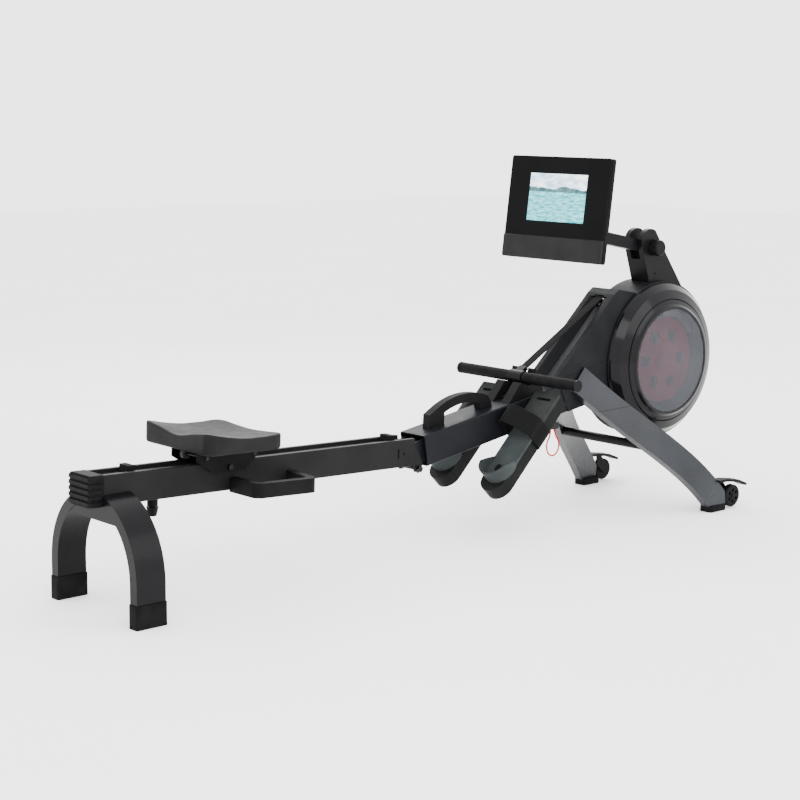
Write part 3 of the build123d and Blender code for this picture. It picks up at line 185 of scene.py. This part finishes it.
def paint(name, dark, light, rough=0.4, peel=0.25, shine=0.06):
    """Powder coat: fine orange peel, faint cloudiness, slight dust in the roughness."""
    m = Mat(name, rough, Specular_IOR_Level=shine)
    m.colour(m.noise(9, 4), dark, light)
    m.roughness(m.noise(35), rough - 0.06, rough + 0.08)
    m.bump(m.noise(650, 2), peel, 0.0006)
    return m.m


def grained(name, dark, light, rough=0.55, grain=900, depth=0.0004):
    """Moulded plastic with a spark-eroded grain."""
    m = Mat(name, rough)
    m.colour(m.noise(14, 4), dark, light)
    m.roughness(m.noise(60), rough - 0.07, rough + 0.09)
    m.bump(m.cells(grain), 0.5, depth)
    m.bump(m.noise(grain * 0.6), 0.35, depth)
    return m.m


def gloss(name, dark, light, rough=0.08, shine=0.12):
    """Polished plastic: mirror-like, with the faintest wave and dust."""
    m = Mat(name, rough, Specular_IOR_Level=shine)
    m.colour(m.noise(6), dark, light)
    m.roughness(m.noise(120, 4), rough, rough + 0.09)
    m.bump(m.noise(30, 2), 0.05, 0.0006)
    return m.m


def rubber(name, dark, light, rough=0.72, scale=700):
    """Dull rubber with a fine uneven skin; scale is how fine."""
    m = Mat(name, rough)
    m.colour(m.noise(22, 5), dark, light)
    m.roughness(m.noise(90), rough - 0.1, rough + 0.12)
    m.bump(m.noise(scale, 4), 0.5, 0.0005)
    return m.m


def metal(name, dark, light, rough=0.3, stretch=(40, 900, 900)):
    """Brushed metal: long fine scratches along the axis with the least stretch."""
    m = Mat(name, rough, 1.0)
    lines = m.noise(1.0, 5, m.scaled(stretch))
    m.colour(lines, dark, light)
    m.roughness(lines, rough - 0.08, rough + 0.12)
    m.bump(lines, 0.15, 0.0002)
    return m.m


# The world is bright, so a base colour of half a percent already renders as near-black.
BEAM = paint("beam_paint", (0.0045, 0.0049, 0.0063), (0.0067, 0.0072, 0.009))
RAIL = paint("rail_paint", (0.0064, 0.0064, 0.0068), (0.0088, 0.0088, 0.0092), 0.45, shine=0.05)
ARCH = paint("leg_paint", (0.0024, 0.0024, 0.003), (0.0042, 0.0042, 0.0048), 0.24, 0.12, 0.09)
TUBE = paint("tube_paint", (0.0025, 0.0025, 0.003), (0.0045, 0.0045, 0.005), 0.32)
PLASTIC = grained("black_plastic", (0.0027, 0.0027, 0.0029), (0.0049, 0.0049, 0.0054))
SHROUD = grained("shroud_plastic", (0.004, 0.0043, 0.005), (0.0065, 0.0067, 0.008),
                 0.46, 1100, 0.0003)
FOOT_PLASTIC = grained("foot_plastic", (0.0036, 0.0038, 0.004), (0.0063, 0.0065, 0.0067), 0.5)
HEEL = grained("heel_plastic", (0.023, 0.0265, 0.0272), (0.033, 0.038, 0.0385), 0.48, 1000)
TOE = grained("toe_plastic", (0.014, 0.0155, 0.0145), (0.021, 0.023, 0.0215), 0.5, 1000)
KNOB = grained("knob_plastic", (0.0025, 0.0025, 0.0027), (0.005, 0.005, 0.0055), 0.38)
BAR = grained("control_bar_plastic", (0.0092, 0.0092, 0.0092), (0.0126, 0.0126, 0.0126))
GLOSS = gloss("gloss_black", (0.002, 0.002, 0.0025), (0.004, 0.004, 0.005))
GLASS = gloss("console_glass", (0.0008, 0.0008, 0.001), (0.0016, 0.0016, 0.002), 0.2, 0.04)
RUBBER = rubber("rubber", (0.0027, 0.0027, 0.0029), (0.0054, 0.0054, 0.0056))
WHEEL = rubber("wheel_rubber", (0.0032, 0.0032, 0.0034), (0.006, 0.006, 0.0064), 0.6)
NYLON = grained("roller_nylon", (0.05, 0.05, 0.052), (0.075, 0.075, 0.08), 0.4)
BLACKENED = metal("blackened_steel", (0.012, 0.012, 0.0128), (0.022, 0.022, 0.0232),
                  0.34, (900, 60, 900))
STEEL = metal("bare_steel", (0.42, 0.42, 0.43), (0.62, 0.62, 0.63), 0.25, (900, 30, 900))
ZINC = metal("zinc_steel", (0.50, 0.50, 0.51), (0.66, 0.66, 0.68), 0.36)
RED = paint("flywheel_red", (0.62, 0.004, 0.018), (0.74, 0.008, 0.030), 0.35)
CORD = rubber("red_cord", (0.30, 0.001, 0.002), (0.42, 0.002, 0.004), 0.5, 1200)
BELT = rubber("belt_rubber", (0.010, 0.010, 0.010), (0.02, 0.02, 0.02))
BOARD = grained("circuit", (0.012, 0.07, 0.03), (0.02, 0.12, 0.05), 0.5)


def stand_paint():
    """Blue-grey paint of the front legs, with a thin, nearly level seam in their upper half."""
    seam_slope, seam_z, seam_half = 0.115, 0.249, 0.0013
    m = Mat("stand_paint", 0.28, Specular_IOR_Level=0.22)
    at = m.split()
    sloped = m.math("SUBTRACT", at["Z"], m.math("MULTIPLY", at["X"], seam_slope))
    away = m.math("ABSOLUTE", m.math("SUBTRACT", sloped, seam_z), 0)
    plain = m.math("GREATER_THAN", away, seam_half)
    coat = m.ramp(m.noise(9, 4), [(0.35, (0.0096, 0.0108, 0.0132)),
                                  (0.65, (0.0138, 0.0156, 0.0192))])
    m.link(m.mix(plain, (0.0008, 0.0008, 0.0009, 1), coat), m.b.inputs["Base Color"])
    m.roughness(m.noise(35), 0.22, 0.36)
    m.bump(m.noise(650, 2), 0.15, 0.0006)
    m.bump(plain, 0.4, 0.0008)
    return m.m


def grip_material():
    """Foam rubber grips with fine rings."""
    m = Mat("grip_rubber", 0.66)
    m.colour(m.noise(40, 4), (0.0025, 0.0025, 0.0029), (0.005, 0.005, 0.0055))
    m.bump(m.wave(45, "Y"), 0.2, 0.0004)
    m.bump(m.noise(900), 0.5, 0.0003)
    return m.m


def vinyl():
    """Seat skin: a pebbled grain in small cells."""
    m = Mat("seat_vinyl", Sheen_Weight=0.01)
    m.colour(m.noise(11, 4), (0.0063, 0.0063, 0.0067), (0.0097, 0.0097, 0.0103))
    m.roughness(m.noise(45), 0.42, 0.6)
    m.bump(m.cells(700), 0.35, 0.0004)
    m.bump(m.noise(1200, 2), 0.3, 0.0003)
    return m.m


def webbing(name, pitch):
    """Woven black band: ribs across it, finer warp lines along it. pitch lays the weave on it."""
    m = Mat(name, 0.8, Sheen_Weight=0.01)
    laid = m.scaled((1, 1, 1), (0, math.radians(pitch), 0))
    weave = m.math("MULTIPLY", m.wave(168, "X", laid), m.wave(252, "Y", laid))
    m.colour(weave, (0.0027, 0.0027, 0.0029), (0.0063, 0.0063, 0.0067), 0.1, 0.7)
    m.bump(weave, 0.6, 0.0003)
    m.bump(m.noise(1500), 0.4, 0.0002)
    return m.m


def window_material():
    """Smoked plastic that shows the red wheel behind it."""
    m = Mat("smoked_window", 0.1, Alpha=0.6, IOR=1.45, Specular_IOR_Level=0.15)
    m.colour(m.noise(5), (0.042, 0.044, 0.052), (0.056, 0.059, 0.068))
    m.roughness(m.noise(60), 0.06, 0.16)
    m.bump(m.noise(25, 2), 0.04, 0.0005)
    return m.m


def screen_material():
    """A generic lake under mountains, drawn from gradients and noise."""
    m = Mat("lcd", 0.12)
    low, high = (Vector(v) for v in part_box("lcd_screen"))
    rise = m.node("MapRange")
    rise.inputs["From Min"].default_value = low.z
    rise.inputs["From Max"].default_value = high.z
    m.link(m.split()["Z"], rise.inputs[0])
    height = rise.outputs[0]
    ridge = m.noise(14, 5, m.scaled((0, 1, 0)))
    is_sky = m.math("GREATER_THAN", height, m.math("ADD", 0.56, m.math("MULTIPLY", ridge, 0.28)))
    is_water = m.math("LESS_THAN", height, 0.62)
    sky = m.ramp(m.noise(26, 5, m.scaled((1, 1, 2.5))),
                 [(0.35, (0.30, 0.46, 0.62)), (0.6, (0.80, 0.86, 0.90))])
    hill = m.ramp(m.noise(60, 6), [(0.3, (0.02, 0.06, 0.07)), (0.7, (0.08, 0.16, 0.16))])
    water = m.ramp(m.noise(45, 6, m.scaled((1, 1, 5))),
                   [(0.35, (0.01, 0.22, 0.26)), (0.65, (0.20, 0.56, 0.60))])
    picture = m.mix(is_water, m.mix(is_sky, hill, sky), water)
    m.link(picture, m.b.inputs["Base Color"])
    m.link(picture, m.b.inputs["Emission Color"])
    m.b.inputs["Emission Strength"].default_value = 0.55
    return m.m


STAND = stand_paint()
GRIP = grip_material()
VINYL = vinyl()
WEB = webbing("webbing", -45)
PULL = webbing("drive_webbing", 30)
WINDOW = window_material()
SCREEN = screen_material()

BY_NODE = {
    BEAM: ["main_beam", "beam_hinge_plates", "beam_brackets"],
    RAIL: ["seat_rail", "rail_hinge_plates"],
    ARCH: ["rear_arch"],
    STAND: ["front_leg_left", "front_leg_right"],
    TUBE: ["cross_tube", "handle_bar", "console_mast", "console_arm"],
    PLASTIC: ["rail_end_cap", "rail_side_handle", "latch_housing", "seat_carriage",
              "carry_handle", "handle_cradle", "wheel_brackets", "console_rear_shell"],
    FOOT_PLASTIC: ["foot_boards"],
    SHROUD: ["shroud_left", "shroud_right", "drum_shell_left", "drum_shell_right"],
    GLOSS: ["drum_rings"],
    GLASS: ["console_front_glass"],
    BAR: ["console_control_bar"],
    BLACKENED: ["release_pin", "hinge_pin", "carriage_axles"],
    RUBBER: ["rear_foot_caps", "rail_stops", "front_foot_pads"],
    WHEEL: ["transport_wheel_left", "transport_wheel_right"],
    GRIP: ["handle_grips"],
    NYLON: ["rear_seat_rollers", "front_seat_rollers"],
    STEEL: ["strap_spool", "strap_idler", "flywheel_bearings"],
    ZINC: ["drum_frame_plates", "return_spring_case", "console_tilt_pin", "magnet_brake"],
    RED: ["flywheel"],
    HEEL: ["heel_cup_left", "heel_cup_right"],
    TOE: ["toe_plates"],
    KNOB: ["latch_knob", "mast_knob"],
    BELT: ["drive_belt"],
    BOARD: ["console_circuit_board"],
    SCREEN: ["lcd_screen"],
    WINDOW: ["drum_windows"],
    VINYL: ["seat_pad"],
    WEB: ["foot_straps"],
    PULL: ["drive_strap"],
}
for material, names in BY_NODE.items():
    for name in names:
        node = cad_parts[name]
        node.data.materials.clear()
        node.data.materials.append(material)


# ----------------------------------------------------------------- soft pieces
def skinned_piece(name, rings, material):
    """A smooth closed mesh through a row of rings of points, with a cap on each end."""
    count = len(rings[0])
    verts = [point for ring in rings for point in ring]
    faces = [list(range(count)), list(range(len(verts) - count, len(verts)))]
    for i in range(len(rings) - 1):
        for j in range(count):
            k = (j + 1) % count
            faces.append([i * count + j, i * count + k, (i + 1) * count + k, (i + 1) * count + j])
    mesh = bpy.data.meshes.new(name)
    mesh.from_pydata(verts, [], faces)
    bm = bmesh.new()
    bm.from_mesh(mesh)
    bmesh.ops.recalc_face_normals(bm, faces=bm.faces)
    bm.to_mesh(mesh)
    bm.free()
    mesh.materials.append(material)
    for face in mesh.polygons:
        face.use_smooth = True
    piece = bpy.data.objects.new(name, mesh)
    bpy.context.collection.objects.link(piece)
    return piece


def softened(points, rounds=3):
    """The polyline with its corners cut again and again, ends kept."""
    for _ in range(rounds):
        cut = [points[0]]
        for a, b in zip(points, points[1:]):
            cut += [a.lerp(b, 0.25), a.lerp(b, 0.75)]
        points = cut + [points[-1]]
    return points


def band(name, path, across, wide, thick, material):
    """A flat strap swept along the path: its section lies across and has soft edges."""
    half = [-1.0, -0.96, -0.85, -0.4, 0.4, 0.85, 0.96, 1.0]
    lift = [0.25, 0.75, 1.0, 1.0, 1.0, 1.0, 0.75, 0.25]
    section = list(zip(half, lift)) + [(h, -r) for h, r in zip(half[::-1], lift)]
    rings = []
    for i, point in enumerate(path):
        along = (path[min(i + 1, len(path) - 1)] - path[max(i - 1, 0)]).normalized()
        out = along.cross(across)
        rings.append([point + across * (h * wide / 2) + out * (r * thick / 2)
                      for h, r in section])
    return skinned_piece(name, rings, material)


# Foot straps: up the board's inner side, over the instep, and down its outer side.
FOOT = Vector((0.127, 0, 0.190))            # where the foot boards begin
FOOT_RUN = Vector((1, 0, 1)).normalized()   # up along a board
FOOT_OUT = Vector((-1, 0, 1)).normalized()  # away from its face
STRAP_AT = 0.168                            # along the board
STRAP_WIDE, STRAP_THICK = 0.062, 0.003
# The route in millimetres: out from the machine's middle, and off the board's face.
STRAP_ROUTE = [(82, -58), (58.3, -58), (58.3, 30), (62, 50), (78, 58), (114, 40), (150, 14),
               (152, -10), (152, -58), (124, -58)]
for side, sign in (("left", 1), ("right", -1)):
    route = [FOOT + FOOT_RUN * STRAP_AT + Vector((0, sign * y / 1000, 0)) + FOOT_OUT * (off / 1000)
             for y, off in STRAP_ROUTE]
    strap = band(f"foot_strap_{side}", softened(route), FOOT_RUN, STRAP_WIDE, STRAP_THICK, WEB)
    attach(strap, "frame")
    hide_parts("foot_straps")

# Drive strap: straight to the mouth, over the idler, down to the spool and round it.
PITCH = math.radians(29.73)   # of the strap from the handle to the idler
DOWN = math.radians(30.4)     # where it leaves the idler and meets the spool
IDLER = (0.690, 0.626, 0.0167)  # x and z of the middle, and the strap's radius on it
SPOOL = (0.758, 0.470, 0.0367)
WOUND = math.radians(200)     # how far it goes round the spool
DRIVE_WIDE, DRIVE_THICK = 0.030, 0.0026
DRIVE_OUT = 0.341             # from the mouth to the handle


def on_roll(roll, angle):
    x, z, radius = roll
    return Vector((x + radius * math.cos(angle), 0, z + radius * math.sin(angle)))


mouth = Vector((0.648, 0, 0.621))
strap_end = mouth - Vector((math.cos(PITCH), 0, math.sin(PITCH))) * DRIVE_OUT
OVER = PITCH + math.pi / 2    # where it meets the idler
path = [strap_end.lerp(on_roll(IDLER, OVER), i / 70) for i in range(70)]
path += [on_roll(IDLER, OVER + (DOWN - OVER) * i / 16) for i in range(17)]
path += [path[-1].lerp(on_roll(SPOOL, DOWN), i / 12) for i in range(1, 12)]
path += [on_roll(SPOOL, DOWN - WOUND * i / 40) for i in range(41)]
drive = band("drive_strap_band", path, Vector((0, 1, 0)), DRIVE_WIDE, DRIVE_THICK, PULL)
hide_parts("drive_strap")
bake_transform(drive)

# Red pull loop of the release pin: both ends enter the pin's head. In millimetres, x and z.
LOOP = [(424, 276), (424, 258), (444, 236), (440, 208), (417, 194), (394, 208), (390, 236),
        (406, 256), (406, 276)]
LOOP_Y = -0.057
LOOP_RADIUS = 0.0022
loop_curve = bpy.data.curves.new("pull_loop", "CURVE")
loop_curve.dimensions = "3D"
loop_curve.bevel_depth = LOOP_RADIUS
loop_curve.bevel_resolution = 4
spline = loop_curve.splines.new("NURBS")
spline.points.add(len(LOOP) - 1)
for point, (x, z) in zip(spline.points, LOOP):
    point.co = (x / 1000, LOOP_Y, z / 1000, 1)
spline.order_u = 3
spline.use_endpoint_u = True
spline.resolution_u = 12
loop_curve.materials.append(CORD)
loop = bpy.data.objects.new("pull_loop", loop_curve)
bpy.context.collection.objects.link(loop)
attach(loop, "pin")
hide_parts("pull_loop_cord")

# Seat pad: a dished top with a raised rear, rounded edges and a tapered underside.
FALL = math.radians(1.7)      # of the rail, towards its front
RAIL_RUN = Vector((math.cos(FALL), 0, -math.sin(FALL)))
RAIL_UP = Vector((math.sin(FALL), 0, math.cos(FALL)))
RAIL_START = Vector((-1.072, 0, 0.3346))
PAD_ALONG, PAD_ABOVE = 0.341, 0.0343     # middle of the pad's underside, from the rail's start
SEAT_MID = RAIL_START + RAIL_RUN * PAD_ALONG + RAIL_UP * PAD_ABOVE
HALF_LONG, HALF_WIDE = 0.116, 0.136
FRONT_CORNER, REAR_CORNER = 0.034, 0.024
CORNER_POINTS = 32
EDGE_STEP = 0.009             # most between two points of the rim


def pad_rim():
    """The pad's rounded rectangle as (along, across), with points along the straight sides
    too, so that the dish shows in the edge."""
    corners = []
    for i, (sx, sy) in enumerate(((1, 1), (-1, 1), (-1, -1), (1, -1))):
        radius = FRONT_CORNER if sx > 0 else REAR_CORNER
        for j in range(CORNER_POINTS):
            angle = math.pi / 2 * (i + j / (CORNER_POINTS - 1))
            corners.append((sx * (HALF_LONG - radius) + radius * math.cos(angle),
                            sy * (HALF_WIDE - radius) + radius * math.sin(angle)))
    rim = []
    for a, b in zip(corners, corners[1:] + corners[:1]):
        steps = max(1, round(math.dist(a, b) / EDGE_STEP))
        rim += [(a[0] + (b[0] - a[0]) * i / steps, a[1] + (b[1] - a[1]) * i / steps)
                for i in range(steps)]
    return rim


def pad_top(x, y):
    """Height of the pad's top: raised at the back with a dip in its middle, and at both sides."""
    flat, rear_rise, side_rise, front_rise = 0.0285, 0.0185, 0.0065, 0.004
    rear = min(1.0, max(0.0, (-x + 0.01) / 0.12))
    side = min(1.0, abs(y) / 0.125)
    front = max(0.0, (x - 0.06) / 0.056)
    dip = math.exp(-(y / 0.058) ** 2)
    return (flat + rear_rise * rear ** 1.5 * (1 - 0.62 * dip) + side_rise * side ** 2
            + front_rise * front * (1 - 0.5 * dip))


# Rings from the underside's middle, up the side and to the top's middle. Each has its inset
# from the rim, and a level: above the underside, as a share of the side, or off the top.
SIDE_FOOT = 0.006
SIDE_SHORT = 0.0085           # the side is this much lower than the top
RING_LEVELS = [(0.100, "low", 0.0), (0.030, "low", 0.0), (0.006, "low", 0.0),
               (0.002, "low", 0.0015), (0.0, "low", SIDE_FOOT)]
RING_LEVELS += [(0.0, "mid", share) for share in (0.3, 0.6, 0.8, 0.93)]
RING_LEVELS += [(0.0012, "top", -0.0012), (0.0035, "top", -0.0002)]
RING_LEVELS += [(inset, "top", 0.0) for inset in (0.007, 0.014, 0.024, 0.036, 0.048, 0.060,
                                                  0.072, 0.084, 0.096, 0.108)]
RIM = pad_rim()
rings = []
for inset, where, level in RING_LEVELS:
    ring = []
    for rim_x, rim_y in RIM:
        x = rim_x * (HALF_LONG - inset) / HALF_LONG
        y = rim_y * (HALF_WIDE - inset) / HALF_WIDE
        if where == "low":
            height = level
        elif where == "mid":
            height = SIDE_FOOT + (pad_top(x, y) - SIDE_SHORT) * level
        else:
            height = pad_top(x, y) + level
        ring.append(SEAT_MID + RAIL_RUN * x + Vector((0, y, 0)) + RAIL_UP * height)
    rings.append(ring)
pad = skinned_piece("seat_cushion", rings, VINYL)
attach(pad, "seat")
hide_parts("seat_pad")

# ------------------------------------------------------------- floor and light
FLOOR_HALF = 14
WORLD_STRENGTH = 3.4
floor_mesh = bpy.data.meshes.new("floor")
floor_mesh.from_pydata([(sx * FLOOR_HALF, sy * FLOOR_HALF, 0)
                        for sx, sy in ((-1, -1), (1, -1), (1, 1), (-1, 1))], [], [(0, 1, 2, 3)])
floor = bpy.data.objects.new("floor", floor_mesh)
bpy.context.collection.objects.link(floor)
floor_paint = Mat("floor_paint", 0.75)
floor_paint.colour(floor_paint.noise(1.5, 2), (0.93, 0.93, 0.93), (0.95, 0.95, 0.95))
floor_mesh.materials.append(floor_paint.m)

world = bpy.data.worlds.new("studio")
bpy.context.scene.world = world
world.use_nodes = True
background = world.node_tree.nodes["Background"]
background.inputs[0].default_value = (1, 1, 1, 1)
background.inputs[1].default_value = WORLD_STRENGTH


def softbox(name, place, target, sides, power):
    data = bpy.data.lights.new(name, "AREA")
    data.shape = "RECTANGLE"
    data.size, data.size_y = sides
    data.energy = power
    lamp = bpy.data.objects.new(name, data)
    aim = (Vector(target) - Vector(place)).to_track_quat("-Z", "Y").to_matrix().to_4x4()
    lamp.matrix_world = Matrix.Translation(place) @ aim
    bpy.context.collection.objects.link(lamp)


softbox("key", (-2.2, -2.6, 3.2), (0.1, 0, 0.3), (2.6, 1.8), 90)
softbox("fill", (1.8, -3.2, 2.2), (0.4, 0, 0.4), (1.8, 2.2), 40)
softbox("rim", (1.5, 2.8, 2.6), (0.2, 0, 0.4), (3.0, 1.2), 60)
